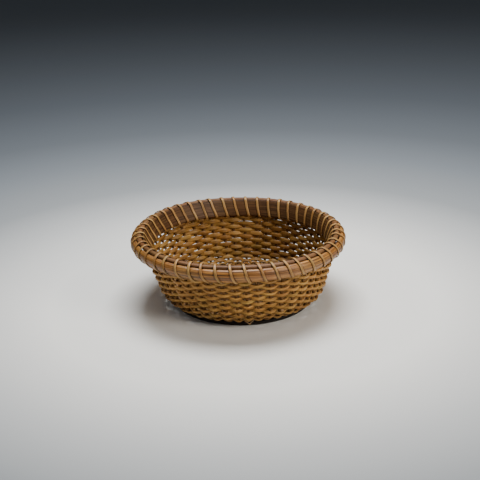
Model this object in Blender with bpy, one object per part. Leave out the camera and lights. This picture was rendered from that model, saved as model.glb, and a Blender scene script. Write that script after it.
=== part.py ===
"""A round bread basket, plain-woven in split cane on forty-eight stakes.

Twenty-four long rods cross under the middle of the base, fan out and turn up the wall, so each one
makes two stakes. Closed rounds of flat cane weave over one stake and under the next, across the
base and up the wall. Two bent bands clamp the top of the weave, a round cane covers the stake ends
between them, and one long strip is lashed round all three. A flat hoop under the base is the foot.

Metres, +Z up. The origin is at the centre of the foot's underside.
"""

import math

import bmesh
import bpy
from mathutils import Vector

# Stakes and rods
STAKE_COUNT = 48
STAKE_STEP = 2 * math.pi / STAKE_COUNT
ROD_COUNT = STAKE_COUNT // 2
RODS_PER_LAYER = ROD_COUNT // 2
ROD_SPACING = 0.005
STAKE_WIDTH = 0.0028
STAKE_THICKNESS = 0.0018
LAYER_STEP = 0.00225  # between the two crossing layers of rods, centre to centre
FAN_END_RADIUS = 0.046

# Body profile: a level floor, a round turn, then a straight flared wall
FLOOR_HEIGHT = 0.007
FLOOR_END_RADIUS = 0.0776
TURN_RADIUS = 0.0135
WALL_ANGLE = math.radians(73)  # above level, so the wall leans out by 17 degrees
TURN_LENGTH = TURN_RADIUS * WALL_ANGLE
TURN_STEPS = 4
STAKE_TOP = 0.0794  # distance up the profile from the end of the floor

# Weavers, in distances along the profile
GAP = 0.0004
WEAVER_WIDTH = 0.0038
WALL_WEAVER_THICKNESS = 0.0018
BASE_WEAVER_THICKNESS = 0.0012
WALL_WEAVER_COUNT = 16
WALL_WEAVER_START = -0.0005
WALL_WEAVER_PITCH = 0.0042
RIM_WEAVER_COUNT = 2
RIM_WEAVER_START = 0.0680
BASE_WEAVER_COUNT = 6
BASE_WEAVER_START = -0.0052
BASE_WEAVER_PITCH = 0.0048

# Rim outlines as (radius, height), anticlockwise with +radius to the right
OUTER_BAND = (
    (0.1090, 0.0630),
    (0.1116, 0.0629),
    (0.1168, 0.0657),
    (0.1190, 0.0715),
    (0.1160, 0.0796),
    (0.1134, 0.0802),
    (0.1114, 0.0720),
)
INNER_BAND = (
    (0.0993, 0.0653),
    (0.1013, 0.0650),
    (0.1030, 0.0712),
    (0.1074, 0.0794),
    (0.1068, 0.0808),
    (0.1054, 0.0802),
)
RIDGE_RADIUS = 0.1106
RIDGE_HEIGHT = 0.0793
RIDGE_THICKNESS = 0.0050
RIDGE_SIDES = 6

# Lashing: one turn for each stake, as (radius, height, share of the step between two stakes)
LASHING_TURN = (
    (0.1090, 0.0611, 0.00),
    (0.0979, 0.0645, 0.00),
    (0.1048, 0.0814, 0.30),
    (0.1104, 0.0829, 0.36),
    (0.1168, 0.0811, 0.44),
    (0.1201, 0.0716, 0.70),
    (0.1180, 0.0645, 0.90),
)
LASHING_WIDTH = 0.0032
LASHING_THICKNESS = 0.0010

# Foot
FOOT_INNER_RADIUS = 0.0735
FOOT_OUTER_RADIUS = 0.0785
FOOT_HEIGHT = 0.0026

STAKE_COLOUR = (0.16, 0.085, 0.038)
WEAVER_COLOUR = (0.40, 0.235, 0.085)
BASE_COLOUR = (0.33, 0.19, 0.075)
BAND_COLOUR = (0.235, 0.125, 0.05)
INNER_BAND_COLOUR = (0.17, 0.09, 0.038)
RIDGE_COLOUR = (0.25, 0.13, 0.06)
LASHING_COLOUR = (0.47, 0.27, 0.12)
FOOT_COLOUR = (0.05, 0.028, 0.015)
CANE_ROUGHNESS = 0.55
SHARP_ANGLE = math.radians(40)  # an edge that turns by more than this is drawn as a crease
LEAST_CORNER_FACING = 0.5  # limits how far the lashing's section is stretched at a corner


def clear_scene():
    for old in list(bpy.data.objects):
        bpy.data.objects.remove(old, do_unlink=True)


def make_material(name, colour):
    material = bpy.data.materials.new(name)
    material.use_nodes = True
    shader = material.node_tree.nodes["Principled BSDF"]
    shader.inputs["Base Color"].default_value = (*colour, 1)
    shader.inputs["Roughness"].default_value = CANE_ROUGHNESS
    shader.inputs["Metallic"].default_value = 0
    material.diffuse_color = (*colour, 1)
    return material


def polar(radius, angle, height):
    return Vector((radius * math.cos(angle), radius * math.sin(angle), height))


def stake_angle(index):
    return (index + 0.5) * STAKE_STEP


def profile(distance):
    """(radius, height, slope) of the body's middle line, at a distance out from the end of the floor."""
    if distance <= 0:
        return FLOOR_END_RADIUS + distance, FLOOR_HEIGHT, 0
    slope = min(distance / TURN_RADIUS, WALL_ANGLE)
    straight = max(distance - TURN_LENGTH, 0)
    radius = FLOOR_END_RADIUS + TURN_RADIUS * math.sin(slope) + straight * math.cos(slope)
    height = FLOOR_HEIGHT + TURN_RADIUS * (1 - math.cos(slope)) + straight * math.sin(slope)
    return radius, height, slope


def profile_axes(slope, angle):
    """Unit vectors out along the profile and out of the basket's outer face."""
    along = polar(math.cos(slope), angle, math.sin(slope))
    outward = polar(math.sin(slope), angle, -math.cos(slope))
    return along, outward


def face_outwards(mesh):
    shape = bmesh.new()
    shape.from_mesh(mesh)
    bmesh.ops.recalc_face_normals(shape, faces=shape.faces)
    shape.to_mesh(mesh)
    shape.free()


def add_strip(name, sections, colour, closed, smooth):
    """One solid through a row of cross-sections that all have the same number of corners."""
    corners = len(sections[0])
    count = len(sections)
    faces = []
    for i in range(count if closed else count - 1):
        for j in range(corners):
            here = i * corners
            there = (i + 1) % count * corners
            after = (j + 1) % corners
            faces.append((here + j, here + after, there + after, there + j))
    if not closed:
        faces.append(tuple(reversed(range(corners))))
        faces.append(tuple(range((count - 1) * corners, count * corners)))
    mesh = bpy.data.meshes.new(name)
    mesh.from_pydata([point for section in sections for point in section], [], faces)
    face_outwards(mesh)
    mesh.materials.append(make_material(name, colour))
    if smooth:
        mesh.shade_smooth()
        mesh.set_sharp_from_angle(angle=SHARP_ANGLE)
    strip = bpy.data.objects.new(name, mesh)
    bpy.context.scene.collection.objects.link(strip)


def flat_section(centre, across, through, width, thickness):
    """Four corners of a flat strip's cross-section, anticlockwise from across to through."""
    half_width = across * width / 2
    half_thickness = through * thickness / 2
    return (
        centre - half_width - half_thickness,
        centre + half_width - half_thickness,
        centre + half_width + half_thickness,
        centre - half_width + half_thickness,
    )


def add_hoop(name, outline, colour, smooth):
    """A closed round of one (radius, height) outline, with a section at every stake."""
    sections = [
        [polar(radius, stake_angle(i), height) for radius, height in reversed(outline)]
        for i in range(STAKE_COUNT)
    ]
    add_strip(name, sections, colour, closed=True, smooth=smooth)


def weave_depth(radius, thickness):
    """How far a weaver's middle stands off the stakes' middle, so that it clears their edges."""
    spacing = radius * STAKE_STEP
    return (thickness / 2 + STAKE_THICKNESS / 2 + GAP) / (1 - STAKE_WIDTH / spacing)


def add_weaver(name, distance, thickness, colour, first_side):
    """A closed round that passes outside one stake and inside the next."""
    radius, height, slope = profile(distance)
    depth = weave_depth(radius, thickness)
    sections = []
    for i in range(STAKE_COUNT):
        angle = stake_angle(i)
        side = first_side if i % 2 else -first_side
        along, outward = profile_axes(slope, angle)
        centre = polar(radius, angle, height) + outward * depth * side
        sections.append(flat_section(centre, along, outward, WEAVER_WIDTH, thickness))
    add_strip(name, sections, colour, closed=True, smooth=True)


def rod_half(index, heading, layer_height):
    """Sections of one half of a rod, from where it leaves the crossing to the top of the wall."""
    place = index - (RODS_PER_LAYER - 1) / 2
    fan_angle = place * STAKE_STEP
    bend_radius = place * ROD_SPACING / math.sin(fan_angle)
    angle = heading + fan_angle
    middle = heading + fan_angle / 2
    down = Vector((0, 0, -1))
    sections = [
        flat_section(
            polar(bend_radius, angle, layer_height),
            polar(1, middle + math.pi / 2, 0),
            down,
            STAKE_WIDTH,
            STAKE_THICKNESS,
        )
    ]
    distances = [FAN_END_RADIUS - FLOOR_END_RADIUS]
    distances += [TURN_LENGTH * i / TURN_STEPS for i in range(TURN_STEPS + 1)]
    distances.append(STAKE_TOP)
    for distance in distances:
        radius, height, slope = profile(distance)
        outward = profile_axes(slope, angle)[1]
        centre = polar(radius, angle, height)
        across = polar(1, angle + math.pi / 2, 0)
        sections.append(flat_section(centre, across, outward, STAKE_WIDTH, STAKE_THICKNESS))
    return sections


def add_rod(name, index, heading, layer_height):
    """A rod runs down one side of the basket, across under the middle and up the other side."""
    near = rod_half(index, heading, layer_height)
    far = rod_half(RODS_PER_LAYER - 1 - index, heading + math.pi, layer_height)
    # The far half is walked inwards, so its corners swap sides to keep the same turning sense.
    far = [(b, a, d, c) for a, b, c, d in reversed(far)]
    add_strip(name, far + near, STAKE_COLOUR, closed=False, smooth=False)


def add_rods():
    for layer in range(2):
        heading = layer * math.pi / 2
        layer_height = FLOOR_HEIGHT + (layer - 0.5) * LAYER_STEP
        for index in range(RODS_PER_LAYER):
            number = layer * RODS_PER_LAYER + index + 1
            add_rod(f"stake_rod_{number:02d}", index, heading, layer_height)


def add_weavers():
    for i in range(BASE_WEAVER_COUNT):
        number = BASE_WEAVER_COUNT - i
        distance = BASE_WEAVER_START - i * BASE_WEAVER_PITCH
        side = 1 if i % 2 else -1
        name = f"base_weaver_{number:02d}"
        add_weaver(name, distance, BASE_WEAVER_THICKNESS, BASE_COLOUR, side)
    starts = [WALL_WEAVER_START + i * WALL_WEAVER_PITCH for i in range(WALL_WEAVER_COUNT)]
    starts += [RIM_WEAVER_START + i * WALL_WEAVER_PITCH for i in range(RIM_WEAVER_COUNT)]
    for i, distance in enumerate(starts):
        side = -1 if i % 2 else 1
        name = f"wall_weaver_{i + 1:02d}"
        add_weaver(name, distance, WALL_WEAVER_THICKNESS, WEAVER_COLOUR, side)


def add_rim():
    add_hoop("rim_outer_band", OUTER_BAND, BAND_COLOUR, smooth=True)
    add_hoop("rim_inner_band", INNER_BAND, INNER_BAND_COLOUR, smooth=True)
    ridge = []
    for i in range(RIDGE_SIDES):
        turn = 2 * math.pi * i / RIDGE_SIDES
        radius = RIDGE_RADIUS + RIDGE_THICKNESS / 2 * math.cos(turn)
        height = RIDGE_HEIGHT + RIDGE_THICKNESS / 2 * math.sin(turn)
        ridge.append((radius, height))
    add_hoop("rim_ridge_cane", ridge, RIDGE_COLOUR, smooth=True)


def add_lashing():
    """One long strip wound round the bands, through the wall once between each two stakes."""
    points = []
    for turn in range(STAKE_COUNT):
        for radius, height, share in LASHING_TURN:
            points.append(polar(radius, (turn + share) * STAKE_STEP, height))
    sections = []
    count = len(points)
    for i, point in enumerate(points):
        ahead = points[(i + 1) % count] - point
        behind = point - points[i - 1]
        direction = (ahead.normalized() + behind.normalized()).normalized()
        round_rim = Vector((-point.y, point.x, 0)).normalized()
        across = (round_rim - direction * round_rim.dot(direction)).normalized()
        through = direction.cross(across)
        # A wider section at a sharp corner keeps the strip's thickness along its runs.
        stretch = 1 / max(direction.dot(ahead.normalized()), LEAST_CORNER_FACING)
        section = flat_section(point, across, through, LASHING_WIDTH, LASHING_THICKNESS * stretch)
        sections.append(section)
    add_strip("rim_lashing", sections, LASHING_COLOUR, closed=True, smooth=False)


def add_foot():
    outline = (
        (FOOT_INNER_RADIUS, 0),
        (FOOT_OUTER_RADIUS, 0),
        (FOOT_OUTER_RADIUS, FOOT_HEIGHT),
        (FOOT_INNER_RADIUS, FOOT_HEIGHT),
    )
    add_hoop("foot_hoop", outline, FOOT_COLOUR, smooth=False)


def main():
    clear_scene()
    add_foot()
    add_rods()
    add_weavers()
    add_rim()
    add_lashing()


main()
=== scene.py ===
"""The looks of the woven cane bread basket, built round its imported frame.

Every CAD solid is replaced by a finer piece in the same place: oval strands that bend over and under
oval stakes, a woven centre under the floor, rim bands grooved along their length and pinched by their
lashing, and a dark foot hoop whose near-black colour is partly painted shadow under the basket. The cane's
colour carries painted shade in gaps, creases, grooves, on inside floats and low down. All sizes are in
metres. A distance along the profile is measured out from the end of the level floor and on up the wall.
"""

import math

import bpy
import numpy as np
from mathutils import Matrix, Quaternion, Vector


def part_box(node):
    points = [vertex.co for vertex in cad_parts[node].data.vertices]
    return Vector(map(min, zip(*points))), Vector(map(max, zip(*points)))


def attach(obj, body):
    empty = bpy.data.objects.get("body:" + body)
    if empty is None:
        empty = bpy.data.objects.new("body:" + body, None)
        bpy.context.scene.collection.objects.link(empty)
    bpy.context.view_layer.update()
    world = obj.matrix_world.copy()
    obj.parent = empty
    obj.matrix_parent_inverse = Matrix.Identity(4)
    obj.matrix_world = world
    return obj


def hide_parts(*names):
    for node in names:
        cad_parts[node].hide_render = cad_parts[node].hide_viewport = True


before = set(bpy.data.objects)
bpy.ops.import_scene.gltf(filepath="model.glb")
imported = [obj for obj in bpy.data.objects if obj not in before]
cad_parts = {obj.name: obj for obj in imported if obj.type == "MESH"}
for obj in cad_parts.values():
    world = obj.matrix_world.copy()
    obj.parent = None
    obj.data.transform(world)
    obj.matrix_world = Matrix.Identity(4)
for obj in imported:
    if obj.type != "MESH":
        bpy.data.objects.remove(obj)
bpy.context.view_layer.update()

SEED = 20
STAKES = 48
STEP = 2 * math.pi / STAKES  # the angle from one stake to the next
RODS_PER_LAYER = STAKES // 4
ROD_SPACING = 0.005

# Body profile, as in the frame: a level floor, a round turn, a straight flared wall
FLOOR_HEIGHT = 0.007
FLOOR_END_RADIUS = 0.0776
TURN_RADIUS = 0.0135
WALL_ANGLE = math.radians(73)
TURN_LENGTH = TURN_RADIUS * WALL_ANGLE
STAKE_TOP = 0.0794

# Rounds, as distances along the profile. The top two of the wall lie a little lower than the frame's.
WALL_ROUNDS, WALL_FIRST, WALL_PITCH = 18, -0.0005, 0.0042
BASE_ROUNDS, BASE_FIRST, BASE_PITCH = 6, -0.0292, 0.0048

# Cane sections, as full widths and thicknesses
STAKE_SIZE = (0.0031, 0.0025)
ROD_MIDDLE_WIDTH = 0.0047
ROD_MIDDLE_THINNING = 0.0007
ROD_MIDDLE_RADIUS = 0.062  # inside this radius a rod starts to get wider and thinner,
ROD_MIDDLE_FADE = 0.014  # and this much further in it has its full middle width
ROD_FAN_SPREAD = 0.0010  # rods flatten where they fan out
ROD_FAN_RADIUS = 0.0405
ROD_FAN_REACH = 0.0035
WALL_STRAND_SIZE = (0.0039, 0.0020)
BASE_STRAND_SIZE = (0.0047, 0.0018)
INSIDE_SPREAD = 0.0017  # a strand lies wider where it floats on the inside
CROSSING_SPREAD = 0.0004  # and where it passes between two stakes
LASHING_SIZE = (0.0030, 0.0011)
FOOT_WIDTH = 0.0050

# How a rod runs under the middle of the base
ROD_LIFT = 0.00120  # out of the floor's middle height, where it passes over or under another rod
ROD_LIFT_END = 0.002  # past the edge of the crossing grid, where the lift has died away
ROD_LIFT_FADE = 0.004
ROD_BEND = 0.006  # length of the rounded corner, each way, where it fans out
ROD_BEND_POINTS = 12
ROD_INNER_SAMPLE = 0.0006
ROD_OUTER_SAMPLE = 0.0012

# How uneven the rounds are: the spread of the random values at their stakes
SWING_UNEVEN = 0.07
PLACE_UNEVEN = 0.0001
TILT_UNEVEN = 0.10
WIDTH_UNEVEN = 0.03
THICKNESS_UNEVEN = 0.04
DRIFT_WAVES = ((0.00012, 3), (0.00008, 7))  # (size, waves in a round)
WEAVE_CLEARANCE = 0.0002

# Heights below which the cane's colour is painted darker, as shade for places that get little light
SHADED_WALL_HEIGHT = 0.036
SHADED_STAKE_HEIGHT = 0.025

# Handmade lean and bulge, full at the rim and nothing at the foot. A wave is (size, waves in a round, phase).
RIM_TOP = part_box("rim_lashing")[1].z
RIM_MIDDLE = 0.073
RIM_SHIFT = -0.0045
LEAN_POWER = 1.88
BULGE_WAVES = ((0.0022, 2, 0.6), (0.0020, 3, 2.1))  # shares of the radius
HEIGHT_WAVES = ((0.0004, 3, 0.9), (0.0003, 5, 2.2))
FOOT_LIFT = 0.0020
FOOT_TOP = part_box("foot_hoop")[1].z

# Rim outlines as (radius, height)
OUTER_BAND = (
    (0.1090, 0.0644), (0.1116, 0.0640), (0.1150, 0.0653), (0.1177, 0.0682),
    (0.1189, 0.0722), (0.1185, 0.0756), (0.1170, 0.0780), (0.1154, 0.0789),
    (0.1140, 0.0788), (0.1132, 0.0774), (0.1117, 0.0722), (0.1100, 0.0676),
)
INNER_BAND = (
    (0.0984, 0.0634), (0.0996, 0.0630), (0.1008, 0.0640), (0.1032, 0.0720), (0.1062, 0.0786),
    (0.1068, 0.0800), (0.1059, 0.0807), (0.1048, 0.0801), (0.1018, 0.0736), (0.0998, 0.0684),
)
RIDGE_CENTRE = (0.1102, 0.0799)
RIDGE_SIZE = (0.0060, 0.0050)

# Fine relief of the rim
BAND_WANDER_WAVES = ((0.0004, 2, 1.0), (0.0003, 5, 0.4))
GROOVE_DEPTH = 0.00028
GROOVE_WIDTH = 0.00042
GROOVES_FROM = 0.10  # the grooved face, as shares of the way round a band's section
GROOVES_SPAN = 0.40
BAND_SINK = 0.00012  # how far a band is pressed in everywhere on its shown face
RIDGE_WAVE = 0.0002
RIDGE_SQUEEZE = 0.0002
PINCH_REACH = 0.15  # to each side of a lashing turn's middle, in steps
# Painted shadow lines along both edges of each lashing turn, with their place and spread given in steps.
CREASE_PLACE = 0.125
CREASE_REACH = 0.04

# One lashing turn, up the inside and then down the outside, as (radius, height, share of a step)
LASHING_INSIDE = (
    (0.1082, 0.0626, -0.06), (0.1045, 0.0623, -0.02), (0.0993, 0.0620, 0.02), (0.0978, 0.0633, 0.05),
    (0.0993, 0.0686, 0.12), (0.1013, 0.0738, 0.20), (0.1041, 0.0802, 0.29), (0.1060, 0.0821, 0.33),
)
LASHING_OUTSIDE = (
    (0.1096, 0.0831, 0.37), (0.1133, 0.0819, 0.40), (0.1165, 0.0797, 0.45), (0.1189, 0.0764, 0.51),
    (0.1196, 0.0722, 0.59), (0.1184, 0.0677, 0.69), (0.1153, 0.0646, 0.79), (0.1115, 0.0632, 0.87),
)
LASHING_TURN = LASHING_INSIDE + LASHING_OUTSIDE

# A sprung weaver end in front of the foot, as (radius, angle, height)
FRONT = -math.pi / 2
LOOSE_END = (
    (0.0815, FRONT - 0.015, 0.0066), (0.0822, FRONT + 0.030, 0.0045), (0.0824, FRONT + 0.073, 0.0021),
    (0.0824, FRONT + 0.083, 0.0021), (0.0822, FRONT + 0.122, 0.0050), (0.0815, FRONT + 0.155, 0.0072),
)
LOOSE_END_SIZE = (0.0010, 0.0006)
LOOSE_END_TAPER = 0.15

CAMERA_ELEVATION = 20.95
CAMERA_DISTANCE = 1.24
CAMERA_AIM = (-0.0022, 0.0007, 0.0687)
CAMERA_ROLL = 0.020
CAMERA_LENS = 82.8

# The floor's outline as (radius, height), and its shades as (distance from the middle, colour)
FLOOR_OUTLINE = (
    (0.0005, 0), (0.3, 0), (0.8, 0), (1.6, 0), (2.4, 0.02), (3.0, 0.25), (3.4, 0.8), (3.6, 2.0), (3.6, 3.4),
)
# Painted light: pale near the basket, darker and bluer further out.
FLOOR_SHADES = (
    (0.22, (0.83, 0.83, 0.80)), (0.335, (0.50, 0.515, 0.52)), (0.42, (0.30, 0.32, 0.335)),
    (0.58, (0.205, 0.230, 0.256)), (0.72, (0.148, 0.168, 0.190)), (0.98, (0.122, 0.140, 0.162)),
)

# Softboxes as (name, place, aim, size, watts, colour)
SOFTBOXES = (
    ("overhead_softbox", (0.02, 0.23, 1.20), (0, 0, 0), (0.76, 0.60), 24.5, (1, 1, 1)),
    ("right_softbox", (1.12, -0.86, 0.82), (0, 0, 0.04), (0.6, 0.6), 16, (1.0, 0.93, 0.84)),
    ("left_softbox", (-1.1, -1.0, 0.7), (0, 0, 0.04), (0.6, 0.6), 1.5, (0.95, 0.97, 1.0)),
)
AIR_COLOUR = (0.75, 0.80, 0.86, 1)
AIR_STRENGTH = 0.12

# Cane colours, and the stretch of its patterns along a strand, across it and from strand to strand
WEAVE_COLOUR = (0.56, 0.290, 0.068)
# The base cane is painted darker than the wall's, as shade on the floor of the bowl.
BASE_COLOUR = (0.22, 0.106, 0.027)
STAKE_COLOUR = (0.20, 0.100, 0.038)
BAND_COLOUR = (0.39, 0.172, 0.038)
# The inner band is the outer band's cane painted much darker, as shade inside the rim.
INNER_BAND_COLOUR = (0.105, 0.046, 0.014)
RIDGE_COLOUR = (0.22, 0.104, 0.040)
LASHING_COLOUR = (0.45, 0.248, 0.076)
# Near-black, partly the hoop's own colour and partly painted shadow under the basket.
FOOT_COLOUR = (0.014, 0.008, 0.005)
LOOSE_END_COLOUR = (0.60, 0.42, 0.24)
FIBRE_STRETCH = (45, 3200, 1)
STREAK_STRETCH = (20, 800, 1)
UNEVEN_STRETCH = (38, 30, 1)
STAIN_SCALE = 34
FIBRE_RELIEF = 0.0004

rng = np.random.default_rng(SEED)
STAKE_JITTER = rng.normal(0, 0.035 * STEP, STAKES)
STAKE_LEAN = rng.normal(0, 0.45 * STEP, STAKES)
LASHING_JITTER = rng.uniform(-0.08, 0.08, STAKES)
LASHING_SLANT = rng.uniform(-0.16, 0.16, STAKES)


# ---------------------------------------------------------------- geometry

def polar(radius, angle, height):
    radius, angle, height = np.broadcast_arrays(radius, angle, height)
    return np.stack((radius * np.cos(angle), radius * np.sin(angle), height), axis=-1)


def unit(vectors):
    return vectors / np.linalg.norm(vectors, axis=-1, keepdims=True)


def waves(angle, terms):
    return sum(size * np.sin(count * angle + phase) for size, count, phase in terms)


def profile(distance):
    """(radius, height, slope) of the body's middle line at distances along the profile."""
    distance = np.asarray(distance, float)
    slope = np.clip(distance / TURN_RADIUS, 0, WALL_ANGLE)
    straight = np.maximum(distance - TURN_LENGTH, 0)
    radius = FLOOR_END_RADIUS + TURN_RADIUS * np.sin(slope) + straight * np.cos(slope)
    radius = radius + np.minimum(distance, 0)
    height = FLOOR_HEIGHT + TURN_RADIUS * (1 - np.cos(slope)) + straight * np.sin(slope)
    return radius, height, slope


def outward_at(slope, angle):
    return polar(np.sin(slope), angle, -np.cos(slope))


def stake_angles(distance):
    """Where each stake stands round the basket, at one distance along the profile."""
    settled = np.clip((distance + 0.030) / 0.020, 0, 1)
    lean = STAKE_LEAN * max(distance, 0) / STAKE_TOP * 0.25
    return (np.arange(STAKES) + 0.5) * STEP + STAKE_JITTER * settled + lean


def settle(points):
    """The small lean, roll and bulge that a handmade basket has."""
    x, y, z = points[:, 0], points[:, 1], points[:, 2]
    rise = np.clip(z / RIM_TOP, 0, 1.1)
    angle = np.arctan2(y, x)
    bulge = 1 + rise * waves(angle, BULGE_WAVES)
    shift = RIM_SHIFT * np.clip(z / RIM_MIDDLE, 0, 1) ** LEAN_POWER
    foot_rise = FOOT_LIFT * np.clip(z / FOOT_TOP, 0, 1) * np.clip(1 - rise, 0, 1)
    height = z + rise * waves(angle, HEIGHT_WAVES) + foot_rise
    return np.column_stack((x * bulge + shift, y * bulge, height))


def rounded_section(corners, squareness):
    """Points round a superellipse two units wide and two thick."""
    turn = np.arange(corners) * 2 * math.pi / corners
    power = 2 / squareness
    across = np.sign(np.cos(turn)) * np.abs(np.cos(turn)) ** power
    through = np.sign(np.sin(turn)) * np.abs(np.sin(turn)) ** power
    return np.column_stack((across, through))


def smooth_path(points, per_span, closed=False):
    """A Catmull-Rom curve through rows of numbers, with per_span samples from each row to the next."""
    points = np.asarray(points, float)
    count = len(points)
    index = np.arange(count if closed else count - 1)
    def row(i):
        return points[i % count] if closed else points[np.clip(i, 0, count - 1)]
    before, here, there, after = row(index - 1), row(index), row(index + 1), row(index + 2)
    samples = []
    for t in np.arange(per_span) / per_span:
        samples.append(0.5 * (
            2 * here + (there - before) * t
            + (2 * before - 5 * here + 4 * there - after) * t**2
            + (3 * here - before - 3 * there + after) * t**3
        ))
    curve = np.stack(samples, axis=1).reshape(-1, points.shape[1])
    return curve if closed else np.vstack((curve, points[-1]))


def directions(centre, closed):
    if closed:
        return unit(np.roll(centre, -1, axis=0) - np.roll(centre, 1, axis=0))
    return unit(np.gradient(centre, axis=0))


def lengths_along(centre, closed):
    """Distance walked at each point, with one more entry for the way back to the first."""
    following = np.roll(centre, -1, axis=0)
    steps = np.linalg.norm(following - centre, axis=1)
    walked = np.concatenate(([0], np.cumsum(steps)))
    return walked if closed else walked[:-1]


def add_grid(name, points, along, across, closed, tint):
    """A mesh from rings of points. Its corners carry the grain: distance along, across, and a tint."""
    rows, corners = points.shape[:2]
    spans = rows if closed else rows - 1
    i = np.repeat(np.arange(spans), corners)
    j = np.tile(np.arange(corners), spans)
    i_next, j_next = (i + 1) % rows, (j + 1) % corners
    faces = np.column_stack((
        i * corners + j, i * corners + j_next, i_next * corners + j_next, i_next * corners + j))
    flat = settle(points.reshape(-1, 3))
    a, b, c, d = (flat[faces[:, k]] for k in range(4))
    volume = np.einsum("ij,ij->i", a, np.cross(b, c) + np.cross(c, d)).sum()
    grain = np.empty((len(faces), 4, 3))
    grain[:, :, 0] = np.column_stack((along[i], along[i], along[i + 1], along[i + 1]))
    grain[:, :, 1] = np.column_stack((across[j], across[j + 1], across[j + 1], across[j]))
    grain[:, :, 2] = tint
    if volume < 0:
        faces, grain = faces[:, ::-1], grain[:, ::-1]
    caps = []
    if not closed:
        first, last = np.arange(corners), np.arange(corners) + (rows - 1) * corners
        caps = [first[::-1], last] if volume >= 0 else [first, last[::-1]]
    corner_grain = [grain.reshape(-1, 3)]
    for cap in caps:
        end = along[0] if cap.min() == 0 else along[-1]
        ends, tints = np.full(corners, end), np.full(corners, tint)
        corner_grain.append(np.column_stack((ends, across[cap % corners], tints)))
    mesh = bpy.data.meshes.new(name)
    mesh.from_pydata(flat.tolist(), [], faces.tolist() + [cap.tolist() for cap in caps])
    stored = mesh.attributes.new("grain", "FLOAT_VECTOR", "CORNER")
    stored.data.foreach_set("vector", np.concatenate(corner_grain).astype(np.float32).ravel())
    mesh.shade_smooth()
    piece = bpy.data.objects.new(name, mesh)
    bpy.context.scene.collection.objects.link(piece)
    return piece


def add_strand(name, centre, through, size, closed, corners=12, squareness=2.5, cover=None):
    """A cane strand swept along centre. size is (width, thickness), as numbers or one for each point."""
    direction = directions(centre, closed)
    through = unit(through - direction * np.einsum("ij,ij->i", through, direction)[:, None])
    across = np.cross(direction, through)
    section = rounded_section(corners, squareness)
    half_width = np.broadcast_to(size[0], len(centre))[:, None, None] / 2
    half_thickness = np.broadcast_to(size[1], len(centre))[:, None, None] / 2
    points = (
        centre[:, None]
        + across[:, None] * half_width * section[None, :, :1]
        + through[:, None] * half_thickness * section[None, :, 1:]
    )
    perimeter = np.arange(corners + 1) / corners * 2 * (np.max(size[0]) + np.max(size[1]))
    piece = add_grid(name, points, lengths_along(centre, closed), perimeter, closed, rng.uniform(0, 50))
    if cover is None:
        cover = np.ones(len(centre))
    # Painted shade along both long edges of every strand.
    edge = 1 - 0.45 * np.abs(section[:, 0]) ** 5
    store_cover(piece, cover[:, None] * edge[None, :])
    return piece


def store_cover(piece, cover):
    """How open each point is to the light: 1 where it stands proud, less in gaps and under crossings."""
    stored = piece.data.attributes.new("cover", "FLOAT", "POINT")
    stored.data.foreach_set("value", np.clip(cover, 0, 1).astype(np.float32).ravel())


def finish_piece(piece, material, slot, *nodes):
    piece.data.materials.append(material)
    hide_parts(*nodes)
    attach(piece, "root")


# ---------------------------------------------------------------- weave

def round_values(spread, share):
    """One random value at each stake, eased to the next, for every sample of a round."""
    at_stakes = rng.normal(0, spread, STAKES)
    blend = (1 - np.cos(math.pi * share)) / 2
    return (at_stakes[:, None] * (1 - blend) + np.roll(at_stakes, -1)[:, None] * blend).ravel()


def woven_round(name, distance, first_side, size, samples, start_stake):
    """A closed round that bends outside one stake and inside the next."""
    stakes = stake_angles(distance)
    order = (np.arange(STAKES) + start_stake) % STAKES
    here = stakes[order]
    there = np.roll(here, -1)
    gaps = (there - here) % (2 * math.pi)
    share = np.arange(samples) / samples
    angle = (here[:, None] + gaps[:, None] * share).ravel()
    side = np.where(order % 2 == 1, first_side, -first_side)
    depth = (size[1] + STAKE_SIZE[1]) / 2 + WEAVE_CLEARANCE
    swing = (side[:, None] * np.cos(math.pi * share)).ravel()
    offset = depth * swing * (1 + round_values(SWING_UNEVEN, share))
    drift = sum(reach * np.sin(count * angle + rng.uniform(0, 6)) for reach, count in DRIFT_WAVES)
    place = distance + drift + round_values(PLACE_UNEVEN, share)
    radius, height, slope = profile(place)
    outward = outward_at(slope, angle)
    centre = polar(radius, angle, height) + outward * offset[:, None]
    tilt = round_values(TILT_UNEVEN, share)
    along_wall = polar(np.cos(slope), angle, np.sin(slope))
    through = outward * np.cos(tilt)[:, None] + along_wall * np.sin(tilt)[:, None]
    spread = INSIDE_SPREAD * np.clip(-swing, 0, 1) + CROSSING_SPREAD * (1 - np.abs(swing))
    width = (size[0] + spread) * (1 + round_values(WIDTH_UNEVEN, share))
    thickness = size[1] * (1 + round_values(THICKNESS_UNEVEN, share))
    # Painted shade: floats on the inside, the crossings and the lower wall get a lower cover, which darkens
    # their colour.
    risen = np.clip(height / SHADED_WALL_HEIGHT, 0, 1)
    cover = (0.74 + 0.26 * swing) * (0.50 + 0.50 * risen)
    return add_strand(name, centre, through, (width, thickness), closed=True, cover=cover)


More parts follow.
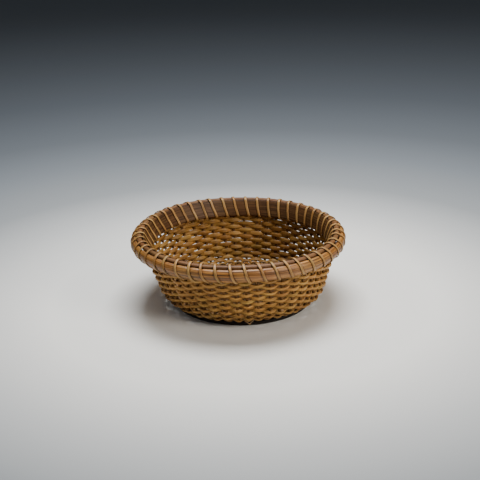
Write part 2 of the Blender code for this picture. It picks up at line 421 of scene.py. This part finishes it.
def rod_half(index, layer):
    """Half a rod, from the middle of the base to the top: centre, outer side, width, thickness, cover."""
    place = index - (RODS_PER_LAYER - 1) / 2
    fan = place * STEP
    heading = layer["heading"]
    side_offset = place * ROD_SPACING
    bend = side_offset / math.tan(fan)
    stake = int(round((heading + fan) / STEP - 0.5)) % STAKES
    half_grid = RODS_PER_LAYER / 2 * ROD_SPACING
    along = np.arange(0, bend - ROD_BEND, ROD_INNER_SAMPLE)
    crossing = along / ROD_SPACING - 0.5
    first_side = layer["side"] * (-1) ** index * layer["turn"]
    lift = ROD_LIFT * first_side * np.cos(math.pi * crossing)
    lift = lift * np.clip((half_grid + ROD_LIFT_END - along) / ROD_LIFT_FADE, 0, 1)
    inner = np.column_stack((along, np.full_like(along, side_offset), FLOOR_HEIGHT + lift))
    corner = np.array((bend, side_offset, FLOOR_HEIGHT))
    out = np.array((math.cos(fan), math.sin(fan), 0))
    ahead = corner + out * ROD_BEND
    behind = corner - np.array((ROD_BEND, 0, 0))
    t = np.linspace(0, 1, ROD_BEND_POINTS)[1:-1, None]
    curve = behind * (1 - t) ** 2 + 2 * corner * t * (1 - t) + ahead * t**2
    inner = np.vstack((inner, curve))
    turn = np.array(((math.cos(heading), math.sin(heading)), (-math.sin(heading), math.cos(heading))))
    inner[:, :2] = inner[:, :2] @ turn
    reach = math.hypot(ahead[0], ahead[1]) - FLOOR_END_RADIUS
    level = np.arange(reach, 0, ROD_OUTER_SAMPLE)
    distance = np.concatenate((level, np.arange(0, STAKE_TOP, ROD_OUTER_SAMPLE), [STAKE_TOP]))
    angle = np.array([stake_angles(d)[stake] for d in distance])
    radius, height, slope = profile(distance)
    centre = np.vstack((inner, polar(radius, angle, height)))
    down = np.tile((0.0, 0.0, -1.0), (len(inner), 1))
    from_middle = np.hypot(centre[:, 0], centre[:, 1])
    spread = np.clip((ROD_MIDDLE_RADIUS - from_middle) / ROD_MIDDLE_FADE, 0, 1)
    fan_spread = ROD_FAN_SPREAD * np.exp(-(((from_middle - ROD_FAN_RADIUS) / ROD_FAN_REACH) ** 2))
    width = STAKE_SIZE[0] + (ROD_MIDDLE_WIDTH - STAKE_SIZE[0]) * spread + fan_spread
    thickness = STAKE_SIZE[1] - ROD_MIDDLE_THINNING * spread
    # Painted shade: the rods are darker under the base and low on the wall.
    cover = 0.30 + 0.70 * np.clip(centre[:, 2] / SHADED_STAKE_HEIGHT - 0.3, 0, 1)
    return centre, np.vstack((down, outward_at(slope, angle))), width, thickness, cover


def woven_rod(name, index, layer):
    """Both halves of a rod, from one top of the wall, under the middle, to the other."""
    opposite = {**layer, "heading": layer["heading"] + math.pi, "turn": -1}
    near = rod_half(index, layer)
    far = rod_half(RODS_PER_LAYER - 1 - index, opposite)
    centre, through, width, thickness, cover = (np.concatenate((b[:0:-1], a)) for a, b in zip(near, far))
    return add_strand(name, centre, through, (width, thickness), closed=False, corners=10, squareness=2.6,
                      cover=cover)


# ---------------------------------------------------------------- rim

def lashing_share(height, outside):
    """How far round its step the lashing has come at a height on the rim's outer or inner face."""
    rows = np.array(LASHING_OUTSIDE if outside else LASHING_INSIDE[3:])
    order = np.argsort(rows[:, 1])
    return np.interp(height, rows[order, 1], rows[order, 2])


def pinch(angle, height, outside):
    """1 under a lashing turn, falling to 0 between two turns; and 1 in the creases along its two edges."""
    steps = angle / STEP - lashing_share(height, outside)
    nearest = np.round(steps - LASHING_JITTER[np.round(steps).astype(int) % STAKES])
    gap = steps - nearest - LASHING_JITTER[nearest.astype(int) % STAKES]
    squeeze = np.exp(-((gap / PINCH_REACH) ** 2))
    crease = np.exp(-(((np.abs(gap) - CREASE_PLACE) / CREASE_REACH) ** 2))
    return squeeze, crease


def add_band(name, outline, outside, grooves, bulge):
    """A bent band of split cane, grooved along its length, bulging between the turns of its lashing."""
    section = smooth_path(outline, 8, closed=True)
    tangent = unit(np.roll(section, -1, axis=0) - np.roll(section, 1, axis=0))
    normal = np.column_stack((tangent[:, 1], -tangent[:, 0]))
    centre = section.mean(axis=0)
    if np.einsum("ij,ij->i", normal, section - centre).sum() < 0:
        normal = -normal
    shown = np.clip(normal[:, 0] * (1 if outside else -1) * 2 + normal[:, 1] + 0.3, 0, 1)
    sides = np.linalg.norm(np.diff(section, axis=0, append=section[:1]), axis=1)
    around = np.concatenate(([0], np.cumsum(sides)))
    steps = STAKES * 16
    angle = np.arange(steps) * 2 * math.pi / steps
    position = around[None, :-1] + waves(angle, BAND_WANDER_WAVES)[:, None]
    groove = np.zeros((steps, len(section)))
    for k in range(grooves):
        middle = around[-1] * (GROOVES_FROM + GROOVES_SPAN * k / grooves)
        depth = GROOVE_DEPTH * (0.65 + 0.35 * np.sin((2 + k) * angle + 1.7 * k))
        groove += depth[:, None] * np.exp(-(((position - middle) / GROOVE_WIDTH) ** 2))
    squeeze, crease = pinch(angle[:, None], section[None, :, 1], outside)
    push = shown[None] * (bulge * (1 - squeeze) - BAND_SINK) - shown[None] * groove
    radius = section[None, :, 0] + normal[None, :, 0] * push
    height = section[None, :, 1] + normal[None, :, 1] * push
    points = polar(radius, angle[:, None], height)
    along = np.arange(steps + 1) / steps * 2 * math.pi * section[:, 0].mean()
    piece = add_grid(name, points, along, around, True, rng.uniform(0, 50))
    facing_ridge = np.clip(-normal[:, 0] if outside else normal[:, 0], 0, 1)
    towards_ridge = facing_ridge * np.clip(2 * normal[:, 1] + 1, 0, 1)
    grooved = np.clip(groove / GROOVE_DEPTH, 0, 1)
    # Painted shade: darker under and beside each lashing turn, in the grooves, and on the face towards the
    # ridge, where the gap is in shadow.
    cover = 1 - 0.35 * squeeze - 0.6 * crease - 0.7 * grooved - 0.6 * towards_ridge[None]
    store_cover(piece, cover)
    return piece


def add_ridge(name):
    """The round cane that covers the stake ends."""
    steps = STAKES * 12
    angle = np.arange(steps) * 2 * math.pi / steps
    squeeze, crease = pinch(angle, np.full(steps, RIM_TOP), True)
    radius = RIDGE_CENTRE[0] + RIDGE_WAVE * np.sin(4 * angle)
    centre = polar(radius, angle, RIDGE_CENTRE[1] - RIDGE_SQUEEZE * squeeze)
    through = polar(0, angle, 1.0)
    uneven = 1 + 0.02 * np.sin(7 * angle)
    size = (RIDGE_SIZE[0] * uneven, RIDGE_SIZE[1] * uneven)
    # Painted shade under and beside each lashing turn.
    return add_strand(name, centre, through, size, closed=True, corners=14, squareness=2.0,
                      cover=1 - 0.4 * squeeze - 0.4 * crease)


def add_lashing(name):
    """One long strip wound round the bands, through the wall once between each two stakes."""
    rows = []
    for turn in range(STAKES):
        for radius, height, share in LASHING_TURN:
            slack = LASHING_JITTER[turn] * math.sin(math.pi * min(share / 0.9, 1))
            slant = LASHING_SLANT[turn] * max(share - LASHING_OUTSIDE[0][2], 0)
            rows.append((radius, height, turn + share + slack + slant))
    rows = np.array(rows)
    wrapped = np.vstack((rows[-2:] - (0, 0, STAKES), rows, rows[:2] + (0, 0, STAKES)))
    path = smooth_path(wrapped, 4)[8:-9]
    angle = path[:, 2] * STEP
    centre = polar(path[:, 0], angle, path[:, 1])
    hub = polar(RIDGE_CENTRE[0], angle, RIDGE_CENTRE[1] - 0.0085)
    through = unit(centre - hub)
    width = LASHING_SIZE[0] * (1 + 0.05 * np.sin(path[:, 2] * 2.4))
    size = (width, LASHING_SIZE[1])
    return add_strand(name, centre, through, size, closed=True, corners=10, squareness=3.2)


def add_foot(name):
    low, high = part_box("foot_hoop")
    outer = high.x / math.cos(STEP / 2)  # the frame's hoop has a corner at each stake
    middle = outer - FOOT_WIDTH / 2
    steps = STAKES * 8
    angle = np.arange(steps) * 2 * math.pi / steps
    centre = polar(middle + 0.0002 * np.sin(3 * angle), angle, (low.z + high.z) / 2)
    through = polar(0, angle, 1.0)
    size = (FOOT_WIDTH, high.z - low.z)
    return add_strand(name, centre, through, size, closed=True, corners=14, squareness=5.0)


# ---------------------------------------------------------------- materials

def link(tree, source, target):
    tree.links.new(source, target)


def noise_node(tree, vector, scale, detail, roughness=0.55):
    node = tree.nodes.new("ShaderNodeTexNoise")
    node.inputs["Scale"].default_value = scale
    node.inputs["Detail"].default_value = detail
    node.inputs["Roughness"].default_value = roughness
    link(tree, vector, node.inputs["Vector"])
    return node.outputs["Fac"]


def stretched(tree, vector, scale, offset=0.0):
    node = tree.nodes.new("ShaderNodeMapping")
    node.inputs["Scale"].default_value = scale
    node.inputs["Location"].default_value = (offset, offset, 0)
    link(tree, vector, node.inputs["Vector"])
    return node.outputs["Vector"]


def ramp(tree, factor, stops):
    node = tree.nodes.new("ShaderNodeValToRGB")
    elements = node.color_ramp.elements
    while len(elements) < len(stops):
        elements.new(0.5)
    for element, (position, colour) in zip(elements, stops):
        element.position = position
        element.color = (*colour, 1)
    link(tree, factor, node.inputs["Fac"])
    return node.outputs["Color"]


def multiply(tree, first, second, factor=1.0):
    node = tree.nodes.new("ShaderNodeMix")
    node.data_type = "RGBA"
    node.blend_type = "MULTIPLY"
    node.inputs[0].default_value = factor
    link(tree, first, node.inputs[6])
    link(tree, second, node.inputs[7])
    return node.outputs[2]


def scaled(colour, amount):
    return tuple(min(channel * amount, 1) for channel in colour)


def cane_material(name, colour, brightness=1.0, roughness=0.5, fibre=1.0, streak=0.6,
                  stain=0.5, crevice_shade=0.6, bump=0.3, gloss=0.25):
    """Split cane: fibres along the strand, uneven colour, water stains, and painted shade where the cover
    attribute is low.
    """
    material = bpy.data.materials.new(name)
    material.use_nodes = True
    tree = material.node_tree
    shader = tree.nodes["Principled BSDF"]
    grain = tree.nodes.new("ShaderNodeAttribute")
    grain.attribute_name = "grain"
    cover = tree.nodes.new("ShaderNodeAttribute")
    cover.attribute_name = "cover"
    place = tree.nodes.new("ShaderNodeTexCoord")
    colour = scaled(colour, brightness)
    fine = noise_node(tree, stretched(tree, grain.outputs["Vector"], FIBRE_STRETCH), 1.0, 3)
    broad = noise_node(tree, stretched(tree, grain.outputs["Vector"], STREAK_STRETCH, 3.1), 1.0, 3)
    patch = noise_node(tree, place.outputs["Object"], STAIN_SCALE, 3)
    lengthwise = noise_node(tree, stretched(tree, grain.outputs["Vector"], UNEVEN_STRETCH, 9.7), 1.0, 2)
    body = ramp(tree, broad, (
        (0.36, scaled((colour[0], colour[1] * 0.88, colour[2] * 0.7), 1 - 0.5 * streak)),
        (0.50, colour),
        (0.66, scaled((colour[0], colour[1] * 1.06, colour[2] * 1.2), 1 + 0.4 * streak)),
    ))
    low = 1 - 0.45 * fibre
    fibres = ramp(tree, fine, ((0.35, (low, low * 0.96, low * 0.90)), (0.58, (1, 1, 1))))
    low = 1 - 0.5 * stain
    stains = ramp(tree, patch, ((0.30, (low, low * 0.92, low * 0.84)), (0.52, (1, 1, 1))))
    uneven = ramp(tree, lengthwise, (
        (0.28, (0.88, 0.76, 0.66)),
        (0.5, (1, 1, 1)),
        (0.72, (0.88, 0.97, 0.90)),
    ))
    # Painted shade: the colour darkens where the cover attribute is low, in gaps, creases, grooves and low
    # places.
    low = 1 - crevice_shade
    painted_shade = ramp(tree, cover.outputs["Fac"], ((0.0, (low * 0.8, low * 0.72, low * 0.62)), (0.85, (1, 1, 1))))
    mixed = multiply(tree, body, fibres)
    mixed = multiply(tree, mixed, stains)
    mixed = multiply(tree, mixed, uneven)
    mixed = multiply(tree, mixed, painted_shade)
    link(tree, mixed, shader.inputs["Base Color"])
    rough = tree.nodes.new("ShaderNodeMapRange")
    rough.inputs["From Min"].default_value = 0.3
    rough.inputs["From Max"].default_value = 0.7
    rough.inputs["To Min"].default_value = roughness + 0.12
    rough.inputs["To Max"].default_value = roughness - 0.08
    link(tree, broad, rough.inputs["Value"])
    link(tree, rough.outputs["Result"], shader.inputs["Roughness"])
    raised = tree.nodes.new("ShaderNodeBump")
    raised.inputs["Strength"].default_value = bump
    raised.inputs["Distance"].default_value = FIBRE_RELIEF
    link(tree, fine, raised.inputs["Height"])
    link(tree, raised.outputs["Normal"], shader.inputs["Normal"])
    shader.inputs["Specular IOR Level"].default_value = gloss
    return material


# ---------------------------------------------------------------- stage

def add_camera():
    data = bpy.data.cameras.new("front_camera")
    camera = bpy.data.objects.new("front_camera", data)
    bpy.context.scene.collection.objects.link(camera)
    elevation = math.radians(CAMERA_ELEVATION)
    back = Vector((0, -math.cos(elevation), math.sin(elevation)))
    level = (-back).to_track_quat("-Z", "Y")
    camera.location = Vector(CAMERA_AIM) + back * CAMERA_DISTANCE
    camera.rotation_euler = (level @ Quaternion((0, 0, 1), -CAMERA_ROLL)).to_euler()
    data.lens = CAMERA_LENS
    data.sensor_width = 36
    data.clip_end = 50
    bpy.context.scene.camera = camera


def add_floor():
    """A wide pale floor that curves up all round, its colour graded darker and grey-blue away from the basket
    as painted falloff of the light.
    """
    section = smooth_path(FLOOR_OUTLINE, 6)
    angle = np.arange(96) * 2 * math.pi / 96
    points = polar(section[:, None, 0], angle[None], section[:, None, 1])
    rows, corners = points.shape[:2]
    faces = []
    for i in range(rows - 1):
        for j in range(corners):
            after = (j + 1) % corners
            here, there = i * corners, (i + 1) * corners
            faces.append((here + j, here + after, there + after, there + j))
    faces.append(tuple(reversed(range(corners))))
    mesh = bpy.data.meshes.new("studio_floor")
    mesh.from_pydata(points.reshape(-1, 3).tolist(), [], faces)
    mesh.shade_smooth()
    floor = bpy.data.objects.new("studio_floor", mesh)
    bpy.context.scene.collection.objects.link(floor)
    material = bpy.data.materials.new("studio_floor")
    material.use_nodes = True
    tree = material.node_tree
    shader = tree.nodes["Principled BSDF"]
    place = tree.nodes.new("ShaderNodeTexCoord")
    reach = tree.nodes.new("ShaderNodeVectorMath")
    reach.operation = "LENGTH"
    link(tree, place.outputs["Object"], reach.inputs[0])
    colour = ramp(tree, reach.outputs["Value"], FLOOR_SHADES)
    link(tree, colour, shader.inputs["Base Color"])
    shader.inputs["Roughness"].default_value = 0.75
    shader.inputs["Specular IOR Level"].default_value = 0.25
    mesh.materials.append(material)


def add_softbox(name, place, aim, size, power, colour):
    data = bpy.data.lights.new(name, "AREA")
    data.shape = "RECTANGLE"
    data.size, data.size_y = size
    data.energy = power
    data.color = colour
    lamp = bpy.data.objects.new(name, data)
    lamp.visible_camera = False
    lamp.location = place
    lamp.rotation_euler = (Vector(aim) - Vector(place)).to_track_quat("-Z", "Y").to_euler()
    bpy.context.scene.collection.objects.link(lamp)


def add_light():
    for softbox in SOFTBOXES:
        add_softbox(*softbox)
    world = bpy.data.worlds.new("studio_air")
    world.use_nodes = True
    background = world.node_tree.nodes["Background"]
    background.inputs["Color"].default_value = AIR_COLOUR
    background.inputs["Strength"].default_value = AIR_STRENGTH
    bpy.context.scene.world = world


# ---------------------------------------------------------------- pieces

def add_wall():
    for i in range(WALL_ROUNDS):
        node = f"wall_weaver_{i + 1:02d}"
        distance = WALL_FIRST + WALL_PITCH * i
        side = -1 if i % 2 else 1
        start = int(rng.integers(STAKES))
        strand = woven_round(node + "_strand", distance, side, WALL_STRAND_SIZE, 10, start)
        shade = float(rng.uniform(0.90, 1.10))
        cane = cane_material(node + "_cane", WEAVE_COLOUR, shade, crevice_shade=0.85)
        finish_piece(strand, cane, "wall_weave", node)


def add_loose_end():
    """The end of a low weaver, sprung loose at the front of the foot."""
    ends = smooth_path(LOOSE_END, 10)
    centre = polar(ends[:, 0], ends[:, 1], ends[:, 2])
    through = polar(1.0, ends[:, 1], 0)
    taper = np.linspace(LOOSE_END_TAPER, math.pi - LOOSE_END_TAPER, len(ends))
    taper = np.clip(np.sin(taper) * 1.6, 0, 1)
    width, thickness = LOOSE_END_SIZE
    size = (width * taper, thickness * taper)
    strand = add_strand("loose_weaver_end", centre, through, size, closed=False)
    finish_piece(strand, cane_material("loose_end_cane", LOOSE_END_COLOUR), "wall_weave")


def add_base():
    for i in range(BASE_ROUNDS):
        node = f"base_weaver_{i + 1:02d}"
        distance = BASE_FIRST + BASE_PITCH * i
        side = -1 if i % 2 else 1
        start = int(rng.integers(STAKES))
        strand = woven_round(node + "_strand", distance, side, BASE_STRAND_SIZE, 8, start)
        shade = float(rng.uniform(0.90, 1.10)) * (1 + 0.12 * i)  # lighter towards the wall, easing the base's painted shade into the wall's colour
        cane = cane_material(node + "_cane", BASE_COLOUR, shade, roughness=0.75, gloss=0.1)
        finish_piece(strand, cane, "base_weave", node)


def add_stakes():
    for number in range(2 * RODS_PER_LAYER):
        node = f"stake_rod_{number + 1:02d}"
        layer, index = divmod(number, RODS_PER_LAYER)
        facing = {"heading": layer * math.pi / 2, "side": 1 - 2 * layer, "turn": 1}
        rod = woven_rod(node + "_strand", index, facing)
        shade = float(rng.uniform(0.85, 1.15))
        cane = cane_material(node + "_cane", STAKE_COLOUR, shade, roughness=0.8, crevice_shade=0.8, gloss=0.1)
        finish_piece(rod, cane, "stakes", node)


def add_rim():
    band = add_band("rim_outer_band_splints", OUTER_BAND, True, 5, 0.0005)
    cane = cane_material("outer_band_cane", BAND_COLOUR, fibre=1.1, streak=1.2, roughness=0.40, gloss=0.45)
    finish_piece(band, cane, "outer_band", "rim_outer_band")
    band = add_band("rim_inner_band_splints", INNER_BAND, False, 4, 0.0003)
    cane = cane_material("inner_band_cane", INNER_BAND_COLOUR, fibre=1.1, streak=1.0)
    finish_piece(band, cane, "inner_band", "rim_inner_band")
    ridge = add_ridge("rim_ridge_round_cane")
    cane = cane_material("ridge_cane", RIDGE_COLOUR, roughness=0.42)
    finish_piece(ridge, cane, "ridge_cane", "rim_ridge_cane")
    lashing = add_lashing("rim_lashing_strip")
    cane = cane_material("lashing_cane", LASHING_COLOUR, roughness=0.40, stain=0.35, gloss=0.35)
    finish_piece(lashing, cane, "lashing", "rim_lashing")
    foot = add_foot("foot_hoop_bent")
    cane = cane_material("foot_cane", FOOT_COLOUR, roughness=0.7)
    finish_piece(foot, cane, "foot", "foot_hoop")


add_wall()
add_loose_end()
add_base()
add_stakes()
add_rim()
add_floor()
add_light()
add_camera()
